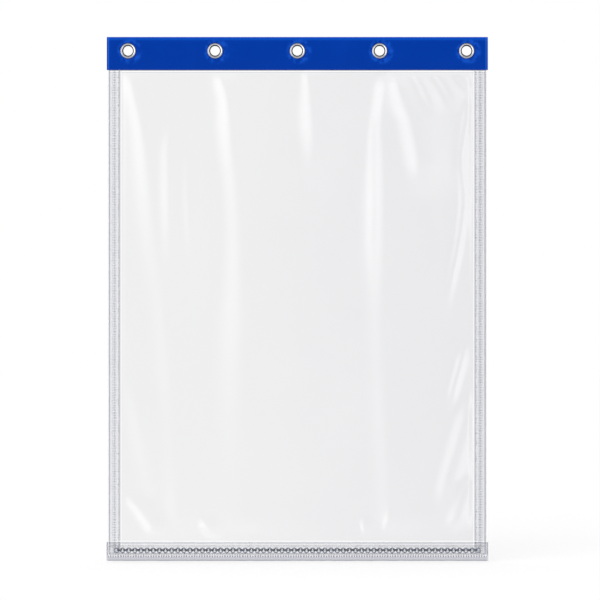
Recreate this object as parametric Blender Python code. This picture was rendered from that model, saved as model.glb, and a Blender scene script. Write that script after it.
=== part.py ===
"""A clear hanging curtain: a blue header strip with five eyelets, a film panel with folded side
hems, and a ring chain that weighs it down in a pocket along its foot.

X runs along the header, +Y points to the back and +Z up. The origin is at the middle eyelet, on
the row that the curtain hangs by. All sizes are in metres.
"""

import math

import bmesh
import bpy
from mathutils import Matrix, Vector

# The whole curtain
HEADER_WIDTH = 0.600
CURTAIN_HEIGHT = 0.824
CLEARANCE = 0.0003  # between pieces that touch on the real curtain
OVERRUN = 0.002  # how far a cut runs past the material

# Header strip, folded over the film's top edge
HEADER_HEIGHT = 0.052
HEADER_PLY = 0.0009
HEADER_OVERHANG = 0.0019  # past the side hems
HEADER_SEAM_INSET = 0.0055  # from the strip's lower edge to the middle of its pressed seam

# Film panel and its side hems
FILM_THICK = 0.0008
BEND_DROP = 0.0015  # from the header's lower edge to the line where the film bends
HEM_DROP = 0.0020  # from that line to the top of the side hems
HEM_WIDTH = 0.018
HEM_PLY = 0.0005
HEM_SEAM_INSET = 0.0082  # from the hem's outer edge
SEAM_WIDTH = 0.0014
SEAM_DEPTH = 0.00015
FOLD_DEPTH = 0.008  # how far the deepest fold stands forward
FOLD_MARGIN = 0.003  # flat film kept clear of the hems and the pocket

# Chain pocket, a strip folded round the film's foot
POCKET_HEIGHT = 0.0285
POCKET_PLY = 0.0005
POCKET_OVERHANG = 0.0023  # past the side hems
POCKET_END_WELD = 0.0080  # welded flat at each end
POCKET_SEAM_REACH = 0.0076  # from the chain's middle to the seam above it, and to the one below
POCKET_SEAM_LAP = 0.0006
CHAIN_LIFT = 0.0161  # from the pocket's foot to the chain's middle
HEM_RAMP = 0.003  # over which the pocket's plies climb onto a side hem

# Chain of round rings, each at right angles to the next
RING_WIRE = 0.0022
RING_BORE = 0.00476
RING_BITE = 0.0001  # how deep two rings of one run bear into each other
CHAIN_PLAY = 0.0025  # how far the chain can shift each way in its pocket
CHAIN_ROOM = 0.0003  # round the rings in their pocket

# Eyelets and the washers that they are set on
EYE_DROP = 0.0218  # from the header's top edge to the row of eyelets
EYE_END_MARGIN = 0.0335  # from the header's end to the outer eyelet
EYE_BORE_RADIUS = 0.0076
EYE_FLANGE_RADIUS = 0.01245
EYE_FLANGE_RISE = 0.0020
EYE_SHEET = 0.0005
EYE_CURL_RADIUS = 0.0011
WASHER_RADIUS = 0.0119
WASHER_SHEET = 0.0005
WASHER_DISH = 0.0004

# Counts
EYE_SEGMENTS = 16
RING_SEGMENTS = 8
RING_SIDES = 5
RINGS_PER_RUN = 10
FILM_COLUMNS = 24
FILM_ROWS = 16
POCKET_ARC_STEPS = 6

# Places of the eyelets, as shares of the outer eyelet's distance from the middle
EYE_PLACE_SHARES = (-1.0, -0.486, 0.0, 0.486, 1.0)
EYE_CURL_TURN = math.radians(150)

# Each fold of the film, as shares. Across, 1 is the film's half width, and down, 1 is its foot:
# across at its top, across at its foot, bow to the side, top, foot, half width, depth. A negative
# depth is a hollow between two ridges.
FOLD_SHARES = (
    (-0.90, -0.69, -0.03, 0.00, 0.92, 0.080, 1.00),
    (-0.70, -0.52, -0.02, 0.00, 0.90, 0.110, -0.50),
    (-0.44, -0.33, 0.03, 0.00, 0.85, 0.085, 0.95),
    (-0.20, -0.14, 0.00, 0.00, 0.75, 0.120, -0.45),
    (0.00, 0.06, 0.00, 0.00, 0.45, 0.080, 0.60),
    (0.22, 0.22, -0.03, 0.00, 0.85, 0.120, -0.50),
    (0.44, 0.42, -0.05, 0.00, 1.00, 0.080, 0.95),
    (0.50, 0.66, 0.02, 0.00, 0.45, 0.070, 0.50),
    (0.72, 0.60, 0.00, 0.05, 0.80, 0.090, -0.45),
    (0.87, 0.78, 0.03, 0.02, 0.62, 0.070, 0.80),
    (0.87, 0.74, 0.02, 0.60, 1.00, 0.070, 0.60),
)

# Levels and half widths that follow from the sizes above
HEADER_TOP = EYE_DROP
HEADER_FOOT = HEADER_TOP - HEADER_HEIGHT
BEND_LINE = HEADER_FOOT - BEND_DROP
CURTAIN_FOOT = HEADER_TOP - CURTAIN_HEIGHT
POCKET_TOP = CURTAIN_FOOT + POCKET_HEIGHT
CHAIN_LEVEL = CURTAIN_FOOT + CHAIN_LIFT
HEM_HALF_SPAN = HEADER_WIDTH / 2 - HEADER_OVERHANG
HEM_INNER_EDGE = HEM_HALF_SPAN - HEM_WIDTH
FILM_HALF_WIDTH = HEM_HALF_SPAN - HEM_PLY - CLEARANCE
POCKET_HALF_WIDTH = HEM_HALF_SPAN + POCKET_OVERHANG
FILM_HALF = FILM_THICK / 2
FILM_SLOT_HALF = FILM_HALF + CLEARANCE
HEM_HALF = FILM_SLOT_HALF + HEM_PLY
HEADER_HALF = FILM_SLOT_HALF + HEADER_PLY
HEADER_SLOT_TOP = HEADER_TOP - HEADER_PLY
EYE_OUTER_PLACE = HEADER_WIDTH / 2 - EYE_END_MARGIN
EYE_PLACES = tuple(share * EYE_OUTER_PLACE for share in EYE_PLACE_SHARES)
EYE_SHANK_RADIUS = EYE_BORE_RADIUS + EYE_SHEET
EYE_HOLE_RADIUS = EYE_SHANK_RADIUS + CLEARANCE

# The rings are eight-sided in this model: their bore is measured between flats
RING_INNER_FLAT = math.cos(math.pi / RING_SIDES) * RING_WIRE / 2
RING_CORNER_COS = math.cos(math.pi / RING_SEGMENTS)
RING_CENTRE_LINE = RING_BORE / 2 / RING_CORNER_COS + RING_INNER_FLAT
RING_REACH = (RING_CENTRE_LINE + RING_WIRE / 2) * RING_CORNER_COS
RING_CORNER_REACH = RING_CENTRE_LINE + RING_WIRE / 2
SEATED_PITCH = RING_BORE + RING_BITE
LOOSE_PITCH = RING_BORE - CLEARANCE
CAVITY_RADIUS = RING_CORNER_REACH + CHAIN_ROOM
CHAIN_DEPTH = -(HEM_HALF + CHAIN_ROOM + RING_CORNER_REACH)


def clear_scene():
    for obj in list(bpy.data.objects):
        bpy.data.objects.remove(obj, do_unlink=True)


def finish(name, colour, roughness, metallic=0.0, alpha=1.0):
    """A plain Principled material."""
    material = bpy.data.materials.new(name)
    material.use_nodes = True
    shader = material.node_tree.nodes["Principled BSDF"]
    shader.inputs["Base Color"].default_value = (*colour, 1.0)
    shader.inputs["Roughness"].default_value = roughness
    shader.inputs["Metallic"].default_value = metallic
    shader.inputs["Alpha"].default_value = alpha
    material.diffuse_color = (*colour, alpha)
    return material


def object_of(bm, name, material=None):
    """Puts a finished bmesh into the scene as one object, with its faces pointing out."""
    bmesh.ops.recalc_face_normals(bm, faces=bm.faces)
    mesh = bpy.data.meshes.new(name)
    bm.to_mesh(mesh)
    bm.free()
    if material:
        mesh.materials.append(material)
    obj = bpy.data.objects.new(name, mesh)
    bpy.context.collection.objects.link(obj)
    return obj


def as_helper(obj):
    obj.hide_render = True
    obj.display_type = "WIRE"
    return obj


def boolean(obj, other, operation):
    modifier = obj.modifiers.new(other.name, "BOOLEAN")
    modifier.operation = operation
    modifier.solver = "EXACT"
    modifier.object = other


def round_off(obj):
    """Shades a turned or bent piece smooth, apart from its sharp edges."""
    obj.data.shade_smooth()
    obj.data.set_sharp_from_angle(angle=math.radians(40))


def mark_axis(name, place, parent=None):
    """An empty on a joint's axis, which the pieces that move there hang from."""
    empty = bpy.data.objects.new(name, None)
    bpy.context.collection.objects.link(empty)
    empty.location = place
    if parent:
        empty.parent = parent
        empty.location = Vector(place) - parent.location
    return empty


def hang_from(empty, pieces):
    bpy.context.view_layer.update()
    for piece in pieces:
        piece.parent = empty
        piece.matrix_parent_inverse = empty.matrix_world.inverted()


def extruded(outline, start, along):
    """A closed outline, as 3-D points, filled and extruded."""
    bm = bmesh.new()
    face = bm.faces.new([bm.verts.new(Vector(point) + Vector(start)) for point in outline])
    moved = bmesh.ops.extrude_face_region(bm, geom=[face])["geom"]
    corners = [item for item in moved if isinstance(item, bmesh.types.BMVert)]
    bmesh.ops.translate(bm, verts=corners, vec=along)
    return bm


def box(low, high):
    bm = bmesh.new()
    size = Vector(high) - Vector(low)
    middle = (Vector(high) + Vector(low)) / 2
    bmesh.ops.create_cube(bm, size=1, matrix=Matrix.Translation(middle) @ Matrix.Diagonal((*size, 1)))
    return bm


def turned(profile, segments, place):
    """A closed profile of (radius, forward) points, spun about an axis along Y through place."""
    bm = bmesh.new()
    points = [bm.verts.new((radius, -forward, 0)) for radius, forward in profile]
    edges = [bm.edges.new((a, b)) for a, b in zip(points, points[1:] + points[:1])]
    bmesh.ops.spin(
        bm,
        geom=points + edges,
        cent=(0, 0, 0),
        axis=(0, 1, 0),
        angle=math.tau,
        steps=segments,
        use_merge=True,
    )
    bmesh.ops.translate(bm, verts=bm.verts, vec=place)
    return bm


def arc(centre, radii, start, end, steps):
    """Points along an elliptical arc, its ends among them."""
    angles = [start + (end - start) * step / steps for step in range(steps + 1)]
    return [(centre[0] + radii[0] * math.cos(a), centre[1] + radii[1] * math.sin(a)) for a in angles]


def eye_cutter():
    """Five round punches through the header strip and the film inside it."""
    bm = bmesh.new()
    for place in EYE_PLACES:
        bmesh.ops.create_cone(
            bm,
            cap_ends=True,
            segments=EYE_SEGMENTS,
            radius1=EYE_HOLE_RADIUS,
            radius2=EYE_HOLE_RADIUS,
            depth=2 * (HEADER_HALF + OVERRUN),
            matrix=Matrix.Translation((place, 0, 0)) @ Matrix.Rotation(math.pi / 2, 4, "X"),
        )
    return as_helper(object_of(bm, "eye_punches"))


def groove(edge, level, depth):
    """Four points of a pressed seam across a face at this edge, from below to above."""
    return [
        (edge, level - SEAM_WIDTH / 2),
        (edge - depth, level - SEAM_WIDTH / 4),
        (edge - depth, level + SEAM_WIDTH / 4),
        (edge, level + SEAM_WIDTH / 2),
    ]


def header_strip(material, punches):
    """The blue strip, folded over at the top and pressed shut along its foot and its ends."""
    seam_level = HEADER_FOOT + HEADER_SEAM_INSET
    shoulder = HEADER_TOP - HEADER_HALF
    back = [(HEADER_HALF, HEADER_FOOT)] + groove(HEADER_HALF, seam_level, SEAM_DEPTH)
    over = arc((0, shoulder), (HEADER_HALF, HEADER_HALF), 0, math.pi, 6)
    front = [(-y, z) for y, z in reversed(back)]
    outline = [(0, y, z) for y, z in back + over + front]
    strip = object_of(
        extruded(outline, (-HEADER_WIDTH / 2, 0, 0), (HEADER_WIDTH, 0, 0)), "header_strip", material
    )
    slot = box(
        (-FILM_HALF_WIDTH - CLEARANCE, -FILM_SLOT_HALF, HEADER_FOOT - OVERRUN),
        (FILM_HALF_WIDTH + CLEARANCE, FILM_SLOT_HALF, HEADER_SLOT_TOP),
    )
    boolean(strip, as_helper(object_of(slot, "header_slot")), "DIFFERENCE")
    boolean(strip, punches, "DIFFERENCE")
    round_off(strip)
    return strip


def film_margin(material, punches):
    """The top edge of the film, held flat between the plies. Below it the film turns about BEND_LINE."""
    bm = box(
        (-FILM_HALF_WIDTH, -FILM_HALF, BEND_LINE + FILM_SLOT_HALF),
        (FILM_HALF_WIDTH, FILM_HALF, HEADER_SLOT_TOP - CLEARANCE),
    )
    margin = object_of(bm, "film_top_margin", material)
    boolean(margin, punches, "DIFFERENCE")
    return margin


def fold_at(across, down):
    """How far forward the film stands, as a share of FOLD_DEPTH."""
    total = 0.0
    for top_x, foot_x, bow, top, foot, half_width, depth in FOLD_SHARES:
        run = (down - top) / (foot - top)
        if not 0 < run < 1:
            continue
        centre = top_x + (foot_x - top_x) * run + bow * math.sin(math.pi * run)
        swell = math.sin(math.pi * math.sqrt(run))
        total += depth * swell * math.exp(-(((across - centre) / half_width) ** 2))
    return total


def stations(low, low_flat, high_flat, high, count):
    """Grid lines: the two ends, and even steps between the two flat limits."""
    inner = count - 2
    return [low] + [low_flat + (high_flat - low_flat) * i / inner for i in range(inner + 1)] + [high]


def film_panel(material):
    """The clear sheet, flat at its edges, with its main folds running down from the eyelets."""
    flat_across = HEM_INNER_EDGE - FOLD_MARGIN
    columns = stations(-FILM_HALF_WIDTH, -flat_across, flat_across, FILM_HALF_WIDTH, FILM_COLUMNS)
    top = BEND_LINE
    foot = CHAIN_LEVEL - POCKET_SEAM_REACH + POCKET_SEAM_LAP
    flat_foot = POCKET_TOP + FOLD_MARGIN
    rows = stations(foot, flat_foot, top - HEM_DROP, top, FILM_ROWS)
    bm = bmesh.new()
    bmesh.ops.create_grid(bm, x_segments=FILM_COLUMNS, y_segments=FILM_ROWS, size=1)
    for vert in bm.verts:
        x = columns[round((vert.co.x + 1) / 2 * FILM_COLUMNS)]
        z = rows[round((vert.co.y + 1) / 2 * FILM_ROWS)]
        inside = abs(x) < flat_across and flat_foot < z < top
        across = x / FILM_HALF_WIDTH
        down = (top - z) / (top - flat_foot)
        fold = fold_at(across, down) if inside else 0
        vert.co = (x, -FOLD_DEPTH * fold, z)
    film = object_of(bm, "film_panel", material)
    thicken = film.modifiers.new("film thickness", "SOLIDIFY")
    thicken.thickness = FILM_THICK
    thicken.offset = 0
    thicken.use_even_offset = True
    film.data.shade_smooth()
    return film


def side_hem(side, material):
    """A clear strip folded round the film's side edge and pressed onto it along one seam."""
    seam = HEM_HALF_SPAN - HEM_SEAM_INSET
    seam_cut = [(y, x) for x, y in groove(HEM_HALF, seam, SEAM_DEPTH)]
    outer_fold = arc((HEM_HALF_SPAN - HEM_HALF, 0), (HEM_HALF, HEM_HALF), math.pi / 2, -math.pi / 2, 4)
    front = [(HEM_INNER_EDGE, HEM_HALF)] + seam_cut
    back = [(x, -y) for x, y in reversed(front)]
    slot = [
        (HEM_INNER_EDGE, -FILM_SLOT_HALF),
        (FILM_HALF_WIDTH + CLEARANCE, -FILM_SLOT_HALF),
        (FILM_HALF_WIDTH + CLEARANCE, FILM_SLOT_HALF),
        (HEM_INNER_EDGE, FILM_SLOT_HALF),
    ]
    outline = [(side * x, y, 0) for x, y in front + outer_fold + back + slot]
    foot = CHAIN_LEVEL - POCKET_SEAM_REACH + POCKET_SEAM_LAP
    top = BEND_LINE - HEM_DROP
    name = "side_hem_left" if side < 0 else "side_hem_right"
    hem = object_of(extruded(outline, (0, 0, foot), (0, 0, top - foot)), name, material)
    round_off(hem)
    return hem


def pocket_slot_half(x):
    """Half the room between the pocket's plies: the film's, or the hem's towards either side."""
    climb = (abs(x) - (HEM_INNER_EDGE - CLEARANCE - HEM_RAMP)) / HEM_RAMP
    return FILM_SLOT_HALF + HEM_PLY * min(max(climb, 0), 1) + (CLEARANCE if climb > 0 else 0)


def tangent_turn(point, centre, radius):
    """The angle on the circle, measured from the forward direction, where a line from point touches."""
    away = Vector((point[0] - centre[0], point[1] - centre[1]))
    return math.atan2(abs(away.y), -away.x) - math.acos(radius / away.length)


def bulge(edge, reach, radius):
    """The pocket's front from its upper seam to its lower one, drawn tight round the chain."""
    seam = (-edge, reach)
    turn = tangent_turn(seam, (CHAIN_DEPTH, 0), radius)
    angles = [turn * (1 - 2 * step / POCKET_ARC_STEPS) for step in range(POCKET_ARC_STEPS + 1)]
    round_part = [(CHAIN_DEPTH - radius * math.cos(a), radius * math.sin(a)) for a in angles]
    return [seam] + round_part + [(-edge, -reach)]


def pocket_section(x, fullness):
    """The pocket's outline at x, as (y, z) points. At its welded ends, fullness falls to nothing."""
    edge = pocket_slot_half(x) + POCKET_PLY
    tail_top = CHAIN_LEVEL - POCKET_SEAM_REACH - 2 * POCKET_PLY
    tail_foot = CURTAIN_FOOT + POCKET_PLY
    swelling = bulge(edge, POCKET_SEAM_REACH, CAVITY_RADIUS + POCKET_PLY)
    front = [(-edge + (y + edge) * fullness, CHAIN_LEVEL + z) for y, z in swelling]
    tail = [(-POCKET_PLY, tail_top), (-POCKET_PLY, tail_foot), (0, CURTAIN_FOOT)]
    back = [(POCKET_PLY, tail_foot), (POCKET_PLY, tail_top), (edge, CHAIN_LEVEL - POCKET_SEAM_REACH)]
    return [(-edge, POCKET_TOP)] + front + tail + back + [(edge, POCKET_TOP)]


def lofted(sections):
    """Closed outlines of one length, as 3-D points, joined in turn and capped at both ends."""
    bm = bmesh.new()
    loops = [[bm.verts.new(point) for point in section] for section in sections]
    for near, far in zip(loops, loops[1:]):
        for i in range(len(near)):
            j = (i + 1) % len(near)
            bm.faces.new((near[i], near[j], far[j], far[i]))
    bm.faces.new(loops[0])
    bm.faces.new(reversed(loops[-1]))
    return bm


def both_sides(places):
    return [-x for x in reversed(places)] + list(places)


def chain_pocket(material, cavity_half_length):
    """The strip along the foot, folded at the bottom, with a seam each side of the chain and welded ends."""
    ramp_start = HEM_INNER_EDGE - CLEARANCE - HEM_RAMP
    ramp_end = HEM_INNER_EDGE - CLEARANCE
    taper_start = cavity_half_length + POCKET_PLY
    places = both_sides([ramp_start, ramp_end, taper_start, POCKET_HALF_WIDTH])
    sections = []
    for x in places:
        full = 1 if abs(x) <= taper_start else 0
        sections.append([(x, y, z) for y, z in pocket_section(x, full)])
    pocket = object_of(lofted(sections), "chain_pocket", material)

    slot_foot = CHAIN_LEVEL - POCKET_SEAM_REACH + POCKET_SEAM_LAP - CLEARANCE
    slot_places = both_sides([ramp_start, ramp_end, HEM_HALF_SPAN + CLEARANCE])
    slot = []
    for x in slot_places:
        half = pocket_slot_half(x)
        top = POCKET_TOP + OVERRUN
        slot.append([(x, -half, slot_foot), (x, -half, top), (x, half, top), (x, half, slot_foot)])
    boolean(pocket, as_helper(object_of(lofted(slot), "pocket_slot")), "DIFFERENCE")

    inner_reach = POCKET_SEAM_REACH - POCKET_SEAM_LAP
    inside = bulge(FILM_SLOT_HALF, inner_reach, CAVITY_RADIUS)
    outline = [(0, y, CHAIN_LEVEL + z) for y, z in [(0, inner_reach)] + inside + [(0, -inner_reach)]]
    cavity = extruded(outline, (-cavity_half_length, 0, 0), (2 * cavity_half_length, 0, 0))
    boolean(pocket, as_helper(object_of(cavity, "pocket_cavity")), "DIFFERENCE")
    round_off(pocket)
    return pocket


def eyelet(place, number, material):
    """The front half of a grommet: a domed flange whose shank runs through and curls over its washer."""
    face = HEADER_HALF + CLEARANCE
    crown_radius = (EYE_FLANGE_RADIUS + EYE_BORE_RADIUS) / 2
    crown_half = (EYE_FLANGE_RADIUS - EYE_BORE_RADIUS) / 2
    dome = arc((crown_radius, face), (crown_half, EYE_FLANGE_RISE), 0, math.pi, 5)
    under = arc(
        (crown_radius, face), (crown_half - EYE_SHEET, EYE_FLANGE_RISE - EYE_SHEET), math.pi, 0, 2
    )
    curl_radius = EYE_BORE_RADIUS + EYE_CURL_RADIUS
    curl_inner = EYE_CURL_RADIUS - EYE_SHEET
    washer_back = HEADER_HALF + CLEARANCE + WASHER_SHEET + WASHER_DISH
    curl_start = -(washer_back + CLEARANCE - curl_inner * math.sin(EYE_CURL_TURN))
    curl_centre = (curl_radius, curl_start)
    curl = arc(curl_centre, (-EYE_CURL_RADIUS, -EYE_CURL_RADIUS), 0, EYE_CURL_TURN, 3)
    curl_under = arc(curl_centre, (-curl_inner, -curl_inner), EYE_CURL_TURN, 0, 2)
    profile = dome + curl + curl_under + under
    eye = object_of(turned(profile, EYE_SEGMENTS, (place, 0, 0)), f"eyelet_{number}", material)
    round_off(eye)
    return eye


def washer(place, number, material):
    """The ring behind the header, slightly dished towards the curl that holds it."""
    seat = -(HEADER_HALF + CLEARANCE)
    inner = EYE_HOLE_RADIUS
    middle = (inner + WASHER_RADIUS) / 2
    profile = [
        (WASHER_RADIUS, seat),
        (WASHER_RADIUS, seat - WASHER_SHEET),
        (middle, seat - WASHER_SHEET - WASHER_DISH),
        (inner, seat - WASHER_SHEET - WASHER_DISH),
        (inner, seat - WASHER_DISH),
        (middle, seat - WASHER_DISH),
    ]
    ring = object_of(turned(profile, EYE_SEGMENTS, (place, 0, 0)), f"washer_{number}", material)
    round_off(ring)
    return ring


def ring_places():
    """The middle of each ring along X, by run. Two rings of one run bear on each other."""
    room = 2 * (POCKET_HALF_WIDTH - POCKET_END_WELD - CHAIN_PLAY - CLEARANCE - RING_REACH)
    mean_pitch = SEATED_PITCH - (SEATED_PITCH - LOOSE_PITCH) / RINGS_PER_RUN
    count = 2 * int(room / mean_pitch / 2) + 1
    places = [0.0]
    for index in range(1, count):
        places.append(places[-1] + (SEATED_PITCH if index % RINGS_PER_RUN else LOOSE_PITCH))
    middle = places[-1] / 2
    placed = [(x - middle, index % 2 == 1) for index, x in enumerate(places)]
    return [placed[i : i + RINGS_PER_RUN] for i in range(0, count, RINGS_PER_RUN)]


def add_ring(bm, x, edge_on):
    """One ring of wire: face to the front, or edge on, lying in the horizontal plane."""
    section = bmesh.ops.create_circle(
        bm,
        segments=RING_SIDES,
        radius=RING_WIRE / 2,
        matrix=Matrix.Translation((RING_CENTRE_LINE, 0, 0)) @ Matrix.Rotation(-math.pi / 2, 4, "Z"),
    )["verts"]
    edges = list({edge for vert in section for edge in vert.link_edges})
    start = len(bm.verts) - len(section)
    bmesh.ops.spin(
        bm,
        geom=section + edges,
        cent=(0, 0, 0),
        axis=(0, 1, 0),
        angle=math.tau,
        steps=RING_SEGMENTS,
        use_merge=True,
    )
    bm.verts.ensure_lookup_table()
    lay = Matrix.Rotation(math.pi / 2, 4, "X") if edge_on else Matrix.Identity(4)
    turn = Matrix.Rotation(math.pi / RING_SEGMENTS, 4, "Y")
    place = Matrix.Translation((x, CHAIN_DEPTH, CHAIN_LEVEL))
    bmesh.ops.transform(bm, matrix=place @ lay @ turn, verts=bm.verts[start:])


def chain_run(number, rings, material):
    """A run of rings, joined where each bears on the next."""
    layers = []
    for edge_on in (False, True):
        bm = bmesh.new()
        for x, is_edge_on in rings:
            if is_edge_on == edge_on:
                add_ring(bm, x, edge_on)
        layers.append(bm)
    run = object_of(layers[0], f"chain_run_{number:02d}", material)
    boolean(run, as_helper(object_of(layers[1], f"cross_rings_{number:02d}")), "UNION")
    round_off(run)
    return run


def main():
    clear_scene()
    blue_vinyl = finish("blue vinyl", (0.0, 0.042, 0.381), 0.42)
    clear_vinyl = finish("clear vinyl film", (0.86, 0.87, 0.88), 0.12, alpha=0.35)
    hem_vinyl = finish("clear vinyl strip", (0.70, 0.71, 0.74), 0.2, alpha=0.5)
    nickel = finish("nickel-plated brass", (0.75, 0.74, 0.71), 0.2, metallic=1.0)
    zinc = finish("zinc-plated steel", (0.42, 0.44, 0.47), 0.3, metallic=1.0)

    punches = eye_cutter()
    header_strip(blue_vinyl, punches)
    film_margin(clear_vinyl, punches)
    for number, place in enumerate(EYE_PLACES, 1):
        eyelet(place, number, nickel)
        washer(place, number, nickel)

    runs = ring_places()
    chain_half_length = -runs[0][0][0] + RING_REACH
    cavity_half_length = chain_half_length + CHAIN_PLAY + CLEARANCE
    panel = [film_panel(clear_vinyl), chain_pocket(hem_vinyl, cavity_half_length)]
    panel += [side_hem(side, hem_vinyl) for side in (-1, 1)]
    chain = [chain_run(number, rings, zinc) for number, rings in enumerate(runs, 1)]

    bend = mark_axis("panel_bend_axis", (0, 0, BEND_LINE))
    hang_from(bend, panel)
    slide = mark_axis("chain_slide_axis", (0, CHAIN_DEPTH, CHAIN_LEVEL), bend)
    hang_from(slide, chain)


main()
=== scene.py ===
"""The looks of a clear hanging curtain: a blue header strip on five eyelets, a film panel that hangs
in soft folds between welded side hems, and a chain of round rings in a clear pocket along its foot.

X runs along the header, +Y points to the back and +Z up. The origin is on the row of eyelets.
"""

import math

import bmesh
import bpy
from bpy.props import FloatProperty, FloatVectorProperty, IntProperty, PointerProperty, StringProperty
from mathutils import Matrix, Vector, noise


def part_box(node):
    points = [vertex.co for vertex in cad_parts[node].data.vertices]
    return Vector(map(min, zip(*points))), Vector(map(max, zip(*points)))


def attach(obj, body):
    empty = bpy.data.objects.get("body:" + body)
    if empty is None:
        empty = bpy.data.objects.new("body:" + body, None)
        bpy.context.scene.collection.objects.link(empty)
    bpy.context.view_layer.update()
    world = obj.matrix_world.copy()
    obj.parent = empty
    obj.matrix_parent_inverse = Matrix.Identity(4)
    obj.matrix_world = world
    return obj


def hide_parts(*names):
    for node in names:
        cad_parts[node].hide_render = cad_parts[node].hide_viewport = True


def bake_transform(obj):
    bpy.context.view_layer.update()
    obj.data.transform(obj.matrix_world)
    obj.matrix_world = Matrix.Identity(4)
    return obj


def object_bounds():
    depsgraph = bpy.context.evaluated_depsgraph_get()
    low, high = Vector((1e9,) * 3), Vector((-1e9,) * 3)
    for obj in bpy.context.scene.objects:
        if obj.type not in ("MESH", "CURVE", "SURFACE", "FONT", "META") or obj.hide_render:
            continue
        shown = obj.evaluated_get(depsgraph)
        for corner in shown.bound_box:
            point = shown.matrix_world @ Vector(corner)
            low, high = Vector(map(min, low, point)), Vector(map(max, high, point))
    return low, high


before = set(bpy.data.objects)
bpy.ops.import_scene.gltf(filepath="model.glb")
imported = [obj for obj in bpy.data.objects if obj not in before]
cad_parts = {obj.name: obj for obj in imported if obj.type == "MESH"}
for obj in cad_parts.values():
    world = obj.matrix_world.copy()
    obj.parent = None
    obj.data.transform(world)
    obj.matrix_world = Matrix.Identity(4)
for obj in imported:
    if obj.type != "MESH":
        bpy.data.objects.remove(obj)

bl_info = {
    "name": "Cleanroom Curtain",
    "version": (1, 0, 0),
    "blender": (4, 5, 0),
    "location": "View3D > Sidebar > Curtain",
    "description": "Builds a clear hanging curtain with a header strip, eyelets, hems and a ring chain",
    "category": "Object",
}

# Places that the frame gives
WHOLE_LOW, WHOLE_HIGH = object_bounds()
HEADER_LOW, HEADER_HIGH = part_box("header_strip")
FILM_LOW, FILM_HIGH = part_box("film_panel")[0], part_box("film_top_margin")[1]
HEM_LOW, HEM_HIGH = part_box("side_hem_right")
POCKET_LOW, POCKET_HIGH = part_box("chain_pocket")
EYE_LOW, EYE_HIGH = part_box("eyelet_3")
WASHER_LOW, WASHER_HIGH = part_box("washer_3")
EYE_NODES = sorted(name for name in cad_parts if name.startswith("eyelet_"))
EYE_PLACES = [sum(corner.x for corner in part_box(name)) / 2 for name in EYE_NODES]

# Sizes of the strips and the film, in metres
FILM_THICK = 0.0008
CLEARANCE = 0.0003
HEADER_PLY = 0.0009
HEM_PLY = 0.0005
POCKET_PLY = 0.0005
FILM_SLOT_HALF = FILM_THICK / 2 + CLEARANCE
HEADER_HALF = HEADER_HIGH.y
HEM_HALF = HEM_HIGH.y
FILM_HALF_WIDTH = FILM_HIGH.x
HEM_INNER_EDGE = HEM_LOW.x
HEM_OUTER_EDGE = HEM_HIGH.x
HEADER_SEAM_INSET = 0.0055
HEM_SEAM_INSET = 0.0082
POCKET_SEAM_REACH = 0.0076
POCKET_FOOT_REACH = 0.0084
SEAM_WIDTH = 0.0014
SEAM_DEPTH = 0.00015
EYE_HOLE_RADIUS = 0.0084

# The chain. The solids' rings have eight flats, and their boxes reach to the flats.
RUN_NODES = sorted(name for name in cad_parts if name.startswith("chain_run_"))
RUN_LOW, RUN_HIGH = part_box(RUN_NODES[0])
CHAIN_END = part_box(RUN_NODES[-1])[1].x
CHAIN_LEVEL = (RUN_LOW.z + RUN_HIGH.z) / 2
CHAIN_DEPTH = (RUN_LOW.y + RUN_HIGH.y) / 2
RING_REACH = (RUN_HIGH.z - RUN_LOW.z) / 2
RING_RADIUS = RING_REACH / math.cos(math.pi / 8)
RING_COUNT = 119
RINGS_PER_RUN = 10
RING_FIRST = RUN_LOW.x + RING_REACH
RING_PITCH = (CHAIN_END - RING_REACH - RING_FIRST) / (RING_COUNT - 1)

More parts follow.
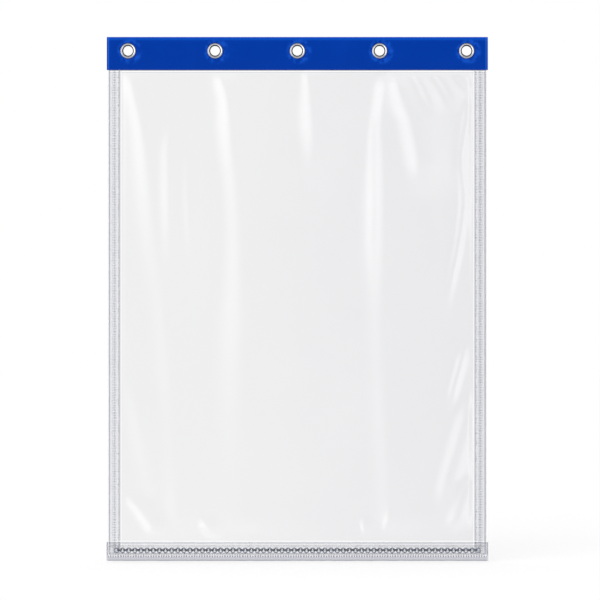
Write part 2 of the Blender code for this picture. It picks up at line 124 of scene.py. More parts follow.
# The film's folds, in millimetres: widths of the left and right flank, height, the share of the
# length over which it widens, the shares between which it fades, the share of its height that is
# left at its foot, and its ridge as points (x, z).
FOLDS = (
    (23, 80, 4.1, 0.3, 0.05, 0.55, 0.52,
     ((-262, -30), (-240, -132), (-228, -211), (-216, -329), (-203, -424), (-196, -500),
      (-192, -590), (-186, -684), (-182, -770))),
    (14, 60, 2.6, 0.3, 0.4, 1, 0, ((-191, -56), (-199, -150), (-199, -235), (-198, -300), (-196, -420))),
    (10, 30, 1.6, 0.3, 0.4, 1, 0, ((-170, -100), (-169, -235), (-163, -340), (-158, -430))),
    (25, 70, 6, 0.22, 0, 0.65, 0.05,
     ((-120, -30), (-107, -77), (-100, -132), (-91, -211), (-87, -329), (-89, -487),
      (-91, -684), (-91, -770))),
    (46, 60, 4.4, 0.55, 0.6, 1, 0.7, ((-62, -90), (-70, -330), (-76, -560), (-76, -770))),
    (20, 60, 4.3, 0.4, 0.38, 0.95, 0, ((18, -28), (26, -93), (30, -140), (30, -180), (29, -250))),
    (28, 90, 6.4, 0.3, 0.22, 0.62, 0.55,
     ((141, -34), (137, -85), (136, -120), (140, -172), (142, -235), (142, -330), (143, -450),
      (150, -600), (158, -770))),
    (6, 6, 0.32, 0.2, 0.6, 1, 0,
     ((121, -80), (118, -120), (117, -172), (117, -235), (116, -300), (118, -380))),
    (24, 60, 7, 0.3, 0.6, 0.95, 0,
     ((156, -30), (160, -46), (172, -77), (185, -109), (197, -172), (203, -254))),
    (16, 30, 1.3, 0.4, 0.4, 1, 0, ((196, -200), (212, -280), (216, -360), (214, -440))),
    (12, 26, 4.2, 0.1, 0.5, 1, 0, ((187, -28), (206, -68), (220, -108))),
    (12, 26, 4.2, 0.1, 0.5, 1, 0, ((220, -28), (241, -66), (256, -102))),
    (9, 16, 2.8, 0.1, 0.5, 1, 0, ((250, -28), (265, -50), (273, -68))),
    (8, 7, 1.9, 0.1, 0.7, 1, 0,
     ((272, -62), (266, -109), (258, -172), (262, -235), (255, -298), (243, -361), (234, -408),
      (230, -436))),
    (8, 8, 2.1, 0.3, 0.6, 1, 0, ((266, -450), (258, -490), (246, -535), (238, -580))),
    (18, 22, 4.1, 0.3, 0.7, 1, 0, ((276, -520), (267, -581), (252, -635), (238, -682), (230, -746))),
    (16, 18, 4.2, 0.2, 0.6, 1, 0, ((277, -666), (262, -710), (249, -745), (241, -770))),
    (11, 18, 2.2, 0.3, 0.7, 1, 0, ((-270, -690), (-239, -734), (-223, -761), (-217, -770))),
    (18, 30, 1.2, 0.3, 0.4, 1, 0.4, ((-262, -480), (-243, -600), (-225, -690), (-215, -770))),
    (10, 16, 2.6, 0.3, 0.7, 1, 0, ((-149, -733), (-138, -754), (-126, -773))),
    (6, 9, 1.4, 0.4, 0.6, 1, 0, ((103, -728), (110, -770))),
    (6, 9, 0.8, 0.4, 0.6, 1, 0, ((146, -716), (142, -745), (137, -768))),
)

# A fold that starts above this level, in millimetres, is held by the header, and stands up over a
# small share of its length. Every fold starts narrow, and lies down over its last share.
FOLD_HELD_FROM = -40
FOLD_HELD_RISE = 0.03
FOLD_TOP_WIDTH = 0.5
FOLD_END = 0.05

# What gloss sees of the studio. Two soft strips stand left and right of the camera, as places along X
# and levels. The room is dark behind the camera and pale to the sides, as places along Y.
STRIP_STOPS = ((-0.8, 0.1), (-0.55, 1.0), (-0.4, 1.0), (-0.06, 0.0), (0.14, 0.0), (0.42, 0.5), (0.8, 0.05))
ROOM_STOPS = ((-1.0, 0.02), (-0.97, 0.08), (-0.9, 0.7), (-0.75, 0.9), (-0.6, 0.35), (-0.4, 0.1), (1.0, 0.08))

# Plasticised vinyl, and the length of one wave of a Wave texture at scale 1
VINYL_IOR = 1.53
WAVE_LENGTH = 0.314

# Edges that turn by less than this are smooth.
SMOOTH_DEGREES = 40


def linear(hex_colour):
    """An sRGB hex colour as linear red, green, blue and alpha."""
    channels = [int(hex_colour[i : i + 2], 16) / 255 for i in (1, 3, 5)]
    return [((c + 0.055) / 1.055) ** 2.4 if c > 0.04045 else c / 12.92 for c in channels] + [1.0]


def add_node(tree, kind, inputs=(), **settings):
    """Adds a shader node. Its inputs go by name, or in their order, which for a Map Range is the value
    and the ends of the ranges that it is read over and spread to. Each is a value, a socket to link
    from, or a node whose first output is linked.
    """
    made = tree.nodes.new("ShaderNode" + kind)
    for name, value in settings.items():
        setattr(made, name, value)
    for key, value in inputs.items() if isinstance(inputs, dict) else enumerate(inputs):
        if isinstance(value, bpy.types.Node):
            value = value.outputs[0]
        if isinstance(value, bpy.types.NodeSocket):
            tree.links.new(value, made.inputs[key])
        else:
            made.inputs[key].default_value = value
    return made


def new_material(name):
    material = bpy.data.materials.new(name)
    material.use_nodes = True
    material.node_tree.nodes.clear()
    return material, material.node_tree


# Materials


def places(tree):
    """The piece's own coordinates: as a place, as its three parts, and how far out to either side."""
    place = add_node(tree, "TexCoord").outputs["Object"]
    axes = add_node(tree, "SeparateXYZ", (place,))
    side = add_node(tree, "Math", (axes.outputs["X"],), operation="ABSOLUTE")
    return place, axes, side


def eye_distance(tree, place, shift=(0, 0, 0)):
    """The distance from the nearest eyelet's axis, with the axes shifted."""
    flat = add_node(tree, "VectorMath", (place, (1, 0, 1)), operation="MULTIPLY")
    nearest = 1.0
    for eye in EYE_PLACES:
        axis = Vector((eye, 0, 0)) + Vector(shift)
        away = add_node(tree, "VectorMath", (flat, axis), operation="DISTANCE")
        nearest = add_node(tree, "Math", (nearest, away.outputs["Value"]), operation="MINIMUM")
    return nearest


def band(tree, value, low, high, soft):
    """1 where value lies between low and high, with soft edges."""
    sides = []
    for edge, start in ((low, 0), (high, 1)):
        inputs = (value, edge - soft, edge + soft, start, 1 - start)
        sides.append(add_node(tree, "MapRange", inputs, interpolation_type="SMOOTHSTEP"))
    return add_node(tree, "Math", sides, operation="MULTIPLY")


def mottle(tree, place, size, detail):
    """Soft noise with spots of that size, in metres."""
    return add_node(tree, "TexNoise", {"Vector": place, "Scale": 1 / size, "Detail": detail})


def painted(tree, base, coats):
    """The base colour, with each coat over it. A coat is a mask and the colour where the mask is 1."""
    below, above, result = 6, 7, 2  # the colour sockets of a Mix node
    tint = linear(base)
    for mask, hex_colour in coats:
        mix = add_node(tree, "Mix", {0: mask, below: tint, above: linear(hex_colour)}, data_type="RGBA")
        tint = mix.outputs[result]
    return tint


def add_surface(tree, inputs):
    shader = add_node(tree, "BsdfPrincipled", inputs)
    add_node(tree, "OutputMaterial", (shader,))


def blue_vinyl(settings):
    """Calendered PVC, dyed through: a satin face with soft ripples and a faint leather grain, with painted
    shade that darkens it a little where the ripples dip. Painted highlights lie along the top fold over the
    film, on its two ends, and in broken patches a little right of and below the eyelets, as the light falls
    from the left. The grain is drawn coarser than it is, so that it shows.
    """
    ripple_size, patch_size, grain_size = 0.045, 0.007, 0.0011
    fold_depth, end_depth, end_rim = 0.0054, 0.0036, 0.0020
    eyelet_highlight_from, eyelet_highlight_to, eyelet_highlight_soft = 0.0120, 0.0190, 0.0030
    eyelet_highlight_shift = (0.0026, 0, -0.001)
    material, tree = new_material("blue calendered vinyl")
    place, axes, side = places(tree)
    ripple = mottle(tree, place, ripple_size, 2.0)
    patches = mottle(tree, place, patch_size, 1.0)
    broken = add_node(tree, "MapRange", (patches, 0.36, 0.60, 0.0, 0.9))
    # Painted highlight: broken rings round the eyelets, shifted right and down, as the light falls from the
    # left
    away = eye_distance(tree, place, eyelet_highlight_shift)
    around = band(tree, away, eyelet_highlight_from, eyelet_highlight_to, eyelet_highlight_soft)
    eyelet_highlight = add_node(tree, "Math", (around, broken), operation="MULTIPLY")
    top, end = HEADER_HIGH.z, HEADER_HIGH.x
    coats = (
        # Painted shade: the vinyl is a little darker where the ripples dip, in their hollows
        (ripple, settings.colour),
        # Painted highlight along the top fold, where light from above falls
        (band(tree, axes.outputs["Z"], top - fold_depth, top + 0.001, 0.0008), settings.colour_fold_highlight),
        # Painted highlight on both ends of the strip
        (band(tree, side, end - end_depth, end - end_rim, 0.0003), settings.colour_end_highlight),
        # Painted highlight beside the eyelets
        (eyelet_highlight, settings.colour_eyelet_highlight),
    )
    tint = painted(tree, settings.colour_deep, coats)
    grain = add_node(tree, "TexVoronoi", {"Vector": place, "Scale": 1 / grain_size})
    height = add_node(tree, "Math", (ripple, 8.0, grain), operation="MULTIPLY_ADD")
    bump = add_node(tree, "Bump", {"Strength": 0.2, "Distance": 0.0002, "Height": height})
    rough = add_node(tree, "MapRange", (ripple, 0.0, 1.0, 0.26, 0.36))
    inputs = {"Base Color": tint, "Roughness": rough, "Specular IOR Level": 0.05, "Normal": bump}
    add_surface(tree, inputs)
    return material


def clear_film(settings):
    """Clear plasticised PVC, cast in one sheet: it lets nearly all light through, a little grey, and shows
    its gloss as soft white streaks along the folds. A painted highlight runs along it under the header and
    beside the hems and the pocket, and a painted shadow lies just under the header's lips.
    """
    cloud_size, ripple_size, soft = 0.12, 0.02, 0.0004
    material, tree = new_material("clear cast vinyl film")
    place, axes, side = places(tree)
    cloud = mottle(tree, place, cloud_size, 1.0)
    drift = add_node(tree, "MapRange", (axes.outputs["X"], -0.12, 0.22, 0.75, -0.15), clamp=False)
    paleness = add_node(tree, "Math", (cloud, 0.5, drift), operation="MULTIPLY_ADD", use_clamp=True)
    level = axes.outputs["Z"]
    header, hem, pocket = HEADER_LOW.z, HEM_INNER_EDGE, POCKET_HIGH.z
    # Painted highlights beside the header, hems and pocket, the weld bead and line, and a painted shadow
    # under the header: what they are measured along, from, to, and their colour
    marks = (
        (level, header - 0.0030, header, settings.edge_highlight_tint),
        (side, hem - 0.0032, hem - 0.0018, settings.edge_highlight_tint),
        (side, hem - 0.0015, hem + 0.0008, settings.bead_tint),
        (level, pocket, pocket + 0.0022, settings.edge_highlight_tint),
        (level, header - 0.0042, header - 0.0034, settings.line_tint),
        # A painted shadow under the header's lips
        (level, header - 0.0010, header + 0.0010, settings.crease_shadow_tint),
    )
    coats = [(paleness, settings.tint)]
    coats += [(band(tree, value, low, high, soft), colour) for value, low, high, colour in marks]
    ripple = mottle(tree, place, ripple_size, 2.0)
    bump = add_node(tree, "Bump", {"Strength": 0.25, "Distance": 0.0002, "Height": ripple})
    add_clear_vinyl(tree, painted(tree, settings.tint_deep, coats), settings.roughness, bump)
    return material


def add_clear_vinyl(tree, tint, roughness, bump):
    """The surface that the clear pieces share, which lets light through and bends it."""
    inputs = {"Base Color": tint, "Roughness": roughness, "Normal": bump}
    add_surface(tree, inputs | {"IOR": VINYL_IOR, "Transmission Weight": 1.0})


def welded_strip(name, settings, bands, along):
    """Clear PVC strip, folded and welded by a knurled wheel: the welds are grey and mottled, and the
    plies between them stay clear. along is the axis that the wheel ran along. A band is an axis, two
    edges, a colour, how soft its edges are, and whether the wheel mottled it.
    """
    knurl_size, mark_pitch, waver = 0.0024, 0.0040, 0.0009
    material, tree = new_material(name)
    place, axes, side = places(tree)
    reaches = {"X": side, "Z": axes.outputs["Z"]}
    knurl = mottle(tree, place, knurl_size, 1.0)
    shift = add_node(tree, "MapRange", (knurl, 0.3, 0.7, -waver, waver))
    inputs = {"Vector": place, "Scale": WAVE_LENGTH / mark_pitch, "Distortion": 2.5}
    inputs |= {"Detail": 1.0, "Detail Scale": 1.5}
    marks = add_node(tree, "TexWave", inputs, bands_direction=along)
    broken = add_node(tree, "MapRange", (marks.outputs["Fac"], 0.1, 0.7, 0.25, 1.0))
    coats = []
    for axis, low, high, colour, soft, mottled in bands:
        reach = reaches[axis]
        if mottled:
            reach = add_node(tree, "Math", (reach, shift))
        mask = band(tree, reach, low, high, soft)
        if mottled:
            mask = add_node(tree, "Math", (mask, broken), operation="MULTIPLY")
        coats.append((mask, colour))
    bump = add_node(tree, "Bump", {"Strength": 0.1, "Distance": 0.0002, "Height": knurl})
    add_clear_vinyl(tree, painted(tree, settings.tint, coats), settings.roughness, bump)
    return material


def nickel_plate(settings):
    """Brass with bright nickel plate, pressed: a soft mirror, with painted shade in the throat round the
    bore.
    """
    smear_size, throat_shade_reach, throat_shade_soft = 0.004, 0.0019, 0.0003
    material, tree = new_material("nickel-plated pressed brass")
    place = add_node(tree, "TexCoord").outputs["Object"]
    smear = mottle(tree, place, smear_size, 2.0)
    rough = add_node(tree, "MapRange", (smear, 0.0, 1.0, 0.14, 0.26))
    bump = add_node(tree, "Bump", {"Strength": 0.15, "Distance": 0.00005, "Height": smear})
    # Painted shade: the throat round the bore is drawn dark
    throat = band(tree, eye_distance(tree, place), 0.0, settings.bore_radius + throat_shade_reach, throat_shade_soft)
    tint = painted(tree, settings.colour, [(throat, settings.colour_throat_shade)])
    add_surface(tree, {"Base Color": tint, "Metallic": 1.0, "Roughness": rough, "Normal": bump})
    return material


def zinc_plate(settings):
    """Steel wire with blue-passivated zinc: a cool grey metal, a little clouded, with a dark blue painted
    shade on the rings that stand edge-on, where the flat rings would shade them.
    """
    cloud_size = 0.003
    material, tree = new_material("zinc-plated steel wire")
    place = add_node(tree, "TexCoord").outputs["Object"]
    cloud = mottle(tree, place, cloud_size, 3.0)
    # Painted shade on the edge-on rings, from the mesh's layer
    edge_on_shade = add_node(tree, "Attribute", attribute_name="edge_on_shade").outputs["Fac"]
    coats = ((cloud, settings.colour), (edge_on_shade, settings.colour_edge_on_shade))
    tint = painted(tree, settings.colour_deep, coats)
    rough = add_node(tree, "MapRange", (cloud, 0.0, 1.0, 0.22, 0.38))
    add_surface(tree, {"Base Color": tint, "Metallic": 1.0, "Roughness": rough})
    return material


# Shapes


def placed(name, data):
    """A new object in the scene."""
    obj = bpy.data.objects.new(name, data)
    bpy.context.scene.collection.objects.link(obj)
    return obj


def object_of(bm, name, material, smooth_degrees=SMOOTH_DEGREES):
    """Puts a finished bmesh into the scene, with its faces pointing out and its round parts smooth."""
    bmesh.ops.recalc_face_normals(bm, faces=bm.faces)
    mesh = bpy.data.meshes.new(name)
    bm.to_mesh(mesh)
    bm.free()
    mesh.materials.append(material)
    mesh.shade_smooth()
    mesh.set_sharp_from_angle(angle=math.radians(smooth_degrees))
    return placed(name, mesh)


def swept(outline, start, along, cuts):
    """A closed outline, as 3-D points, moved to start and swept along, with even cuts. It returns the
    bmesh, and each vertex's outline number in the float layer named outline.
    """
    bm = bmesh.new()
    layer = bm.verts.layers.float.new("outline")
    verts = []
    for number, point in enumerate(outline):
        vert = bm.verts.new(Vector(point) + Vector(start))
        vert[layer] = number
        verts.append(vert)
    face = bm.faces.new(verts)
    moved = bmesh.ops.extrude_face_region(bm, geom=[face])["geom"]
    corners = [item for item in moved if isinstance(item, bmesh.types.BMVert)]
    bmesh.ops.translate(bm, verts=corners, vec=along)
    length = Vector(along).length
    long_edges = [edge for edge in bm.edges if abs(edge.calc_length() - length) < length * 1e-4]
    bmesh.ops.subdivide_edges(bm, edges=long_edges, cuts=cuts, use_grid_fill=True)
    return bm, layer


def arc(centre, radii, start, end, steps):
    """Points along an elliptical arc, its ends among them."""
    angles = [start + (end - start) * step / steps for step in range(steps + 1)]
    return [(centre[0] + radii[0] * math.cos(a), centre[1] + radii[1] * math.sin(a)) for a in angles]


def spun(bm, geom, steps):
    """Spins a closed section all round, about the Y axis."""
    origin, axis = (0, 0, 0), (0, 1, 0)
    bmesh.ops.spin(bm, geom=geom, cent=origin, axis=axis, angle=math.tau, steps=steps, use_merge=True)


def turned(profile, place, steps):
    """A closed profile of (radius, forward) points, spun about an axis along Y through place."""
    bm = bmesh.new()
    verts = [bm.verts.new((radius, -forward, 0)) for radius, forward in profile]
    edges = [bm.edges.new(pair) for pair in zip(verts, verts[1:] + verts[:1])]
    spun(bm, verts + edges, steps)
    bmesh.ops.translate(bm, verts=bm.verts, vec=(place, 0, 0))
    return bm


def smooth(value):
    """A step from 0 to 1 that starts and ends softly."""
    value = min(max(value, 0.0), 1.0)
    return value * value * (3 - 2 * value)


def punch(obj):
    """Cuts the five eyelet holes, and keeps the mesh that the object's modifiers make."""
    steps, depth, radius = 48, 8 * HEADER_HALF, EYE_HOLE_RADIUS
    bm = bmesh.new()
    for place in EYE_PLACES:
        matrix = Matrix.Translation((place, 0, 0)) @ Matrix.Rotation(math.pi / 2, 4, "X")
        bmesh.ops.create_cone(
            bm, cap_ends=True, segments=steps, radius1=radius, radius2=radius, depth=depth, matrix=matrix
        )
    mesh = bpy.data.meshes.new("punch")
    bm.to_mesh(mesh)
    bm.free()
    cutter = placed("punch", mesh)
    modifier = obj.modifiers.new("eyelet holes", "BOOLEAN")
    modifier.operation = "DIFFERENCE"
    modifier.solver = "EXACT"
    modifier.object = cutter
    graph = bpy.context.evaluated_depsgraph_get()
    made = bpy.data.meshes.new_from_object(obj.evaluated_get(graph))
    made.set_sharp_from_angle(angle=math.radians(SMOOTH_DEGREES))
    obj.modifiers.clear()
    before = obj.data
    obj.data = made
    bpy.data.meshes.remove(before)
    bpy.data.objects.remove(cutter)
    bpy.data.meshes.remove(mesh)


def fold_height(x, z):
    """How far forward the film stands there, from its folds, all in millimetres."""
    total = 0.0
    for left, right, depth, widen, fade, faded, tail, ridge in FOLDS:
        top, foot = ridge[0][1], ridge[-1][1]
        if not foot < z < top:
            continue
        # The ridge runs smoothly through its points.
        leg = next(i for i in range(1, len(ridge)) if z >= ridge[i][1])
        share = (ridge[leg - 1][1] - z) / (ridge[leg - 1][1] - ridge[leg][1])
        before, after = ridge[max(leg - 2, 0)][0], ridge[min(leg + 1, len(ridge) - 1)][0]
        start, end = ridge[leg - 1][0], ridge[leg][0]
        lean_in, lean_out = (end - before) / 2, (after - start) / 2
        square, cube = share * share, share ** 3
        centre = start * (2 * cube - 3 * square + 1) + end * (3 * square - 2 * cube)
        centre += lean_in * (cube - 2 * square + share) + lean_out * (cube - square)
        run = (top - z) / (top - foot)
        width = FOLD_TOP_WIDTH + (1 - FOLD_TOP_WIDTH) * smooth(run / widen)
        rise = FOLD_HELD_RISE if top > FOLD_HELD_FROM else widen
        swell = width * smooth(run / rise) * smooth((1 - run) / FOLD_END)
        swell *= 1 - (1 - tail) * smooth((run - fade) / (faded - fade))
        flank = (left if x < centre else right) * width
        total += depth * swell * math.exp(-(((x - centre) / flank) ** 2))
    return total


# Settings


class CurtainFilmSettings(bpy.types.PropertyGroup):
    thickness: FloatProperty(name="Thickness", description="Of the film", default=FILM_THICK, unit="LENGTH")
    fold_scale: FloatProperty(name="Fold scale", description="Factor on the folds' height", default=1.0)
    wave_depth: FloatProperty(name="Wave depth", description="Slow waves", default=0.0011, unit="LENGTH")
    columns: IntProperty(name="Columns", description="Faces across the film", default=290, min=20)
    rows: IntProperty(name="Rows", description="Faces down the film", default=140, min=20)
    roughness: FloatProperty(name="Roughness", description="Blur of gloss", default=0.1, subtype="FACTOR")
    tint: StringProperty(name="Tint", description="Colour of light that passes", default="#F4F4F5")
    tint_deep: StringProperty(name="Deep tint", description="Colour where it is greyest", default="#EEEEF0")
    # Painted highlight along the film beside the header, hems and pocket
    edge_highlight_tint: StringProperty(name="Edge tint", description="Colour beside its welds", default="#FFFFFF")
    line_tint: StringProperty(name="Line tint", description="Colour of its weld line", default="#E4E5E8")
    bead_tint: StringProperty(name="Bead tint", description="Colour of the weld's bead", default="#D8D9DE")
    # Painted shadow just under the header
    crease_shadow_tint: StringProperty(name="Crease tint", description="Colour of its top bend", default="#9A9CA6")


class CurtainHeaderSettings(bpy.types.PropertyGroup):
    colour: StringProperty(name="Colour", description="Colour of the vinyl", default="#0038A0")
    # Painted shade in the ripples' hollows
    colour_deep: StringProperty(name="Deep colour", description="Colour in its hollows", default="#003599")
    # Painted highlight along the top fold
    colour_fold_highlight: StringProperty(name="Fold colour", description="Colour along the fold", default="#0546B2")
    # Painted highlight on the strip's ends
    colour_end_highlight: StringProperty(name="End colour", description="Colour of pressed ends", default="#1D5ACC")
    # Painted highlight in patches beside the eyelets
    colour_eyelet_highlight: StringProperty(name="Strained colour", description="Near eyelets", default="#1250C0")
    swell: FloatProperty(name="Swell", description="Swelling between eyelets", default=0.0010, unit="LENGTH")
    cuts: IntProperty(name="Cuts", description="Cuts along the strip", default=180, min=10)


class CurtainStripSettings(bpy.types.PropertyGroup):
    tint: StringProperty(name="Tint", description="Colour of light that passes", default="#FEFEFF")
    weld: StringProperty(name="Weld", description="Colour of a dense weld", default="#D3D4DA")
    weld_soft: StringProperty(name="Soft weld", description="Colour of a light weld", default="#F1F2F4")
    fold: StringProperty(name="Fold", description="Colour of a folded edge", default="#DCDDE2")
    foot_weld: StringProperty(name="Foot weld", description="Colour of the foot's seam", default="#9A9CA8")
    foot_ply: StringProperty(name="Foot ply", description="Colour of the foot's plies", default="#C6C7CF")
    foot_fold: StringProperty(name="Foot fold", description="Colour of the foot's fold", default="#ABADB7")
    roughness: FloatProperty(name="Roughness", description="Blur of gloss", default=0.12, subtype="FACTOR")
    cuts: IntProperty(name="Cuts", description="Cuts along a strip", default=160, min=10)


class CurtainEyeletSettings(bpy.types.PropertyGroup):
    colour: StringProperty(name="Colour", description="Colour of the nickel", default="#C9C9CC")
    # Painted shade in the eyelets' throats
    colour_throat_shade: StringProperty(name="Throat colour", description="In the throat", default="#4C4C52")
    bore_radius: FloatProperty(name="Bore radius", description="Of the hole", default=0.0076, unit="LENGTH")
    sheet: FloatProperty(name="Sheet", description="Thickness of the metal", default=0.0005, unit="LENGTH")
    steps: IntProperty(name="Steps", description="Faces round an eyelet", default=64, min=16)


class CurtainChainSettings(bpy.types.PropertyGroup):
    colour: StringProperty(name="Colour", description="Colour of the zinc", default="#A0A6B4")
    colour_deep: StringProperty(name="Deep colour", description="Colour where clouded", default="#828A9D")
    # Painted shade on the edge-on rings
    colour_edge_on_shade: StringProperty(name="Rubbed colour", description="Colour where rubbed", default="#0A1430")
    wire: FloatProperty(name="Wire", description="Diameter of the wire", default=0.0022, unit="LENGTH")
    lift: FloatProperty(name="Lift", description="Rise of edge-on rings", default=0.0006, unit="LENGTH")
    steps: IntProperty(name="Steps", description="Faces round a ring", default=20, min=8)
    sides: IntProperty(name="Sides", description="Faces round the wire", default=7, min=4)


class CurtainStageSettings(bpy.types.PropertyGroup):
    view_width: FloatProperty(name="View width", description="Width seen", default=0.9449, unit="LENGTH")
    view_centre: FloatVectorProperty(
        name="View centre", description="Middle of view", default=(0.0042, 0, -0.3924), subtype="TRANSLATION"
    )
    distance: FloatProperty(name="Distance", description="Camera to curtain", default=6.0, unit="LENGTH")
    floor_gap: FloatProperty(name="Floor gap", description="Foot to floor", default=0.003, unit="LENGTH")
    strip_glow: FloatProperty(name="Strip glow", description="Radiance of the left strip", default=2.1)
    floor_glow: FloatProperty(name="Floor glow", description="What gloss sees of the floor", default=0.4)
    key_light: FloatProperty(name="Key light", description="Light from the left front", default=1.82)
    top_light: FloatProperty(name="Top light", description="Light from straight above", default=1.25)
    fill: FloatProperty(name="Fill", description="Strength of the light from all round", default=0.4)


# Pieces


class CURTAIN_OT_film(bpy.types.Operator):
    """Builds the film, one sheet from inside the header to inside the pocket"""

    bl_idname = "curtain.film"
    bl_label = "Film"

    def execute(self, context):
        settings = context.scene.curtain_film
        # The film is flat at its edges, and comes forward over these stretches beside them.
        side_flat, foot_flat = 0.003, 0.003
        side_ramp, top_ramp, foot_ramp, wave_ramp = 0.008, 0.004, 0.010, 0.08
        waves_across, waves_down, wave_place = 14, 3.5, 3.1
        flat_across = HEM_INNER_EDGE - side_flat
        top, foot = HEADER_LOW.z, POCKET_HIGH.z + foot_flat
        low, high = FILM_LOW.z, FILM_HIGH.z
        bm = bmesh.new()
        bmesh.ops.create_grid(bm, x_segments=settings.columns, y_segments=settings.rows, size=0.5)
        for vert in bm.verts:
            x = 2 * vert.co.x * FILM_HALF_WIDTH
            z = low + (high - low) * (vert.co.y + 0.5)
            hold = smooth((flat_across - abs(x)) / side_ramp) * smooth((top - z) / top_ramp)
            hold *= smooth((z - foot) / foot_ramp)
            y = 0.0
            if hold > 0:
                fold = settings.fold_scale * fold_height(1000 * x, 1000 * z) / 1000
                wave = noise.noise(Vector((x * waves_across, wave_place, z * waves_down)))
                wave *= smooth((z - foot) / wave_ramp)
                y = -hold * (fold + settings.wave_depth * wave)
            vert.co = (x, y, z)
        film = object_of(bm, "film_sheet", clear_film(settings))
        thicken = film.modifiers.new("thickness", "SOLIDIFY")
        thicken.thickness = settings.thickness
        thicken.offset = 0.0
        thicken.use_even_offset = True
        punch(film)
        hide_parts("film_panel", "film_top_margin")
        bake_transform(film)
        return {"FINISHED"}


class CURTAIN_OT_header(bpy.types.Operator):
    """Builds the blue header strip, folded over the film's top edge"""

    bl_idname = "curtain.header"
    bl_label = "Header strip"

    def execute(self, context):
        settings = context.scene.curtain_header
        low, high = HEADER_LOW.z, HEADER_HIGH.z
        lip_rise, lip_depth, fold_rise = 0.0005, 0.0004, 0.0040
        seam = low + HEADER_SEAM_INSET
        shoulder = high - fold_rise
        slot_top = high - HEADER_PLY
        rows = 10
        first = seam + SEAM_WIDTH
        back = [(HEADER_HALF, low + lip_rise)]
        back += [(HEADER_HALF, seam - SEAM_WIDTH / 2), (HEADER_HALF - SEAM_DEPTH, seam)]
        back += [(HEADER_HALF, seam + SEAM_WIDTH / 2)]
        back += [(HEADER_HALF, first + (shoulder - first) * row / rows) for row in range(rows)]
        over = arc((0, shoulder), (HEADER_HALF, high - shoulder), 0, math.pi, 16)
        front = [(-y, z) for y, z in reversed(back)]
        outside = back + over + front
        lip_front = [(-HEADER_HALF + lip_depth, low), (-FILM_SLOT_HALF, low)]
        slot = [(-FILM_SLOT_HALF, slot_top), (FILM_SLOT_HALF, slot_top)]
        lip_back = [(FILM_SLOT_HALF, low), (HEADER_HALF - lip_depth, low)]
        outline = [(0, y, z) for y, z in outside + lip_front + slot + lip_back]
        width = HEADER_HIGH.x - HEADER_LOW.x
        bm, layer = swept(outline, (HEADER_LOW.x, 0, 0), (width, 0, 0), settings.cuts)

        # The plies swell between seam and fold, but not at the ends or where an eyelet clamps them.
        clamped, clamp_ramp, end_flat, end_ramp = 0.0125, 0.008, 0.0010, 0.0045
        rumples_along, rumples_through, rumples_up = 30, 500, 40
        rumple_mean, rumple_share = 0.8, 0.5
        for vert in bm.verts:
            x, y, z = vert.co
            if vert[layer] > len(outside) - 0.5 or not first < z < high - 1e-6:
                continue
            level = (z - first) / (high - first)
            near = min(math.hypot(x - place, z) for place in EYE_PLACES)
            free = smooth((near - clamped) / clamp_ramp)
            away = smooth((HEADER_HIGH.x - abs(x) - end_flat) / end_ramp)
            rumpled = Vector((x * rumples_along, y * rumples_through, z * rumples_up))
            rumple = rumple_mean + rumple_share * noise.noise(rumpled)
            swell = settings.swell * math.sin(math.pi * level) ** 0.5 * free * away * rumple
            vert.co.y += math.copysign(swell, y)
        strip = object_of(bm, "header_band", blue_vinyl(settings))
        punch(strip)
        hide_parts("header_strip")
        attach(strip, "header")
        return {"FINISHED"}


class CURTAIN_OT_eyelets(bpy.types.Operator):
    """Builds the five eyelets and the washers that they are set on"""

    bl_idname = "curtain.eyelets"
    bl_label = "Eyelets"

    def execute(self, context):
        settings = context.scene.curtain_eyelet
        metal = nickel_plate(settings)
        bore, sheet = settings.bore_radius, settings.sheet
        flange = (EYE_HIGH.x - EYE_LOW.x) / 2
        face = HEADER_HALF + CLEARANCE
        rise = -EYE_LOW.y - face

        # The flange rises to a crest, dips a little, and rolls into the bore. A thin wall follows it.
        crest_share, throat_share, dip_share, saddle_share = 0.68, 0.36, 0.25, 0.35
        crest = bore + crest_share * (flange - bore)
        throat = bore + throat_share * (flange - bore)
        dip = dip_share * rise
        quarter = math.pi / 2
        dome = arc((crest, face), (flange - crest, rise), 0, quarter, 10)
        dome += [((crest + throat) / 2, face + rise - saddle_share * dip)]
        dome += arc((throat, face - dip), (throat - bore, rise), quarter, math.pi, 10)
        under = arc((throat, face - dip), (throat - bore - sheet, rise - sheet), math.pi, quarter, 6)
        under += arc((crest, face), (flange - crest - sheet, rise - sheet), quarter, 0, 6)

        # Behind the washer the barrel is curled outwards.
        curl, curl_turn = 0.0011, math.radians(150)
        inner_curl = curl - sheet
        centre = (bore + curl, -(EYE_HIGH.y - curl))
        back = arc(centre, (-curl, -curl), 0, curl_turn, 10)
        back += arc(centre, (-inner_curl, -inner_curl), curl_turn, 0, 6)
        outer, inner, rim = WASHER_HIGH.x, EYE_HOLE_RADIUS, 0.0001
        seat, dish = -WASHER_LOW.y, -WASHER_HIGH.y
        slope = outer - (outer - inner) / 2
        washer = [(outer, seat), (outer - rim, seat - sheet), (slope, dish), (inner, dish)]
        washer += [(inner, dish + sheet), (slope, dish + sheet)]
        shell = dome + back + under
        pieces = ((shell, "eyelet_shell", "eyelet"), (washer, "washer_ring", "washer"))
        for number, place in enumerate(EYE_PLACES, 1):
            for profile, name, node in pieces:
                bm = turned(profile, place, settings.steps)
                piece = object_of(bm, f"{name}_{number}", metal)
                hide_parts(f"{node}_{number}")
                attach(piece, "header")
        return {"FINISHED"}


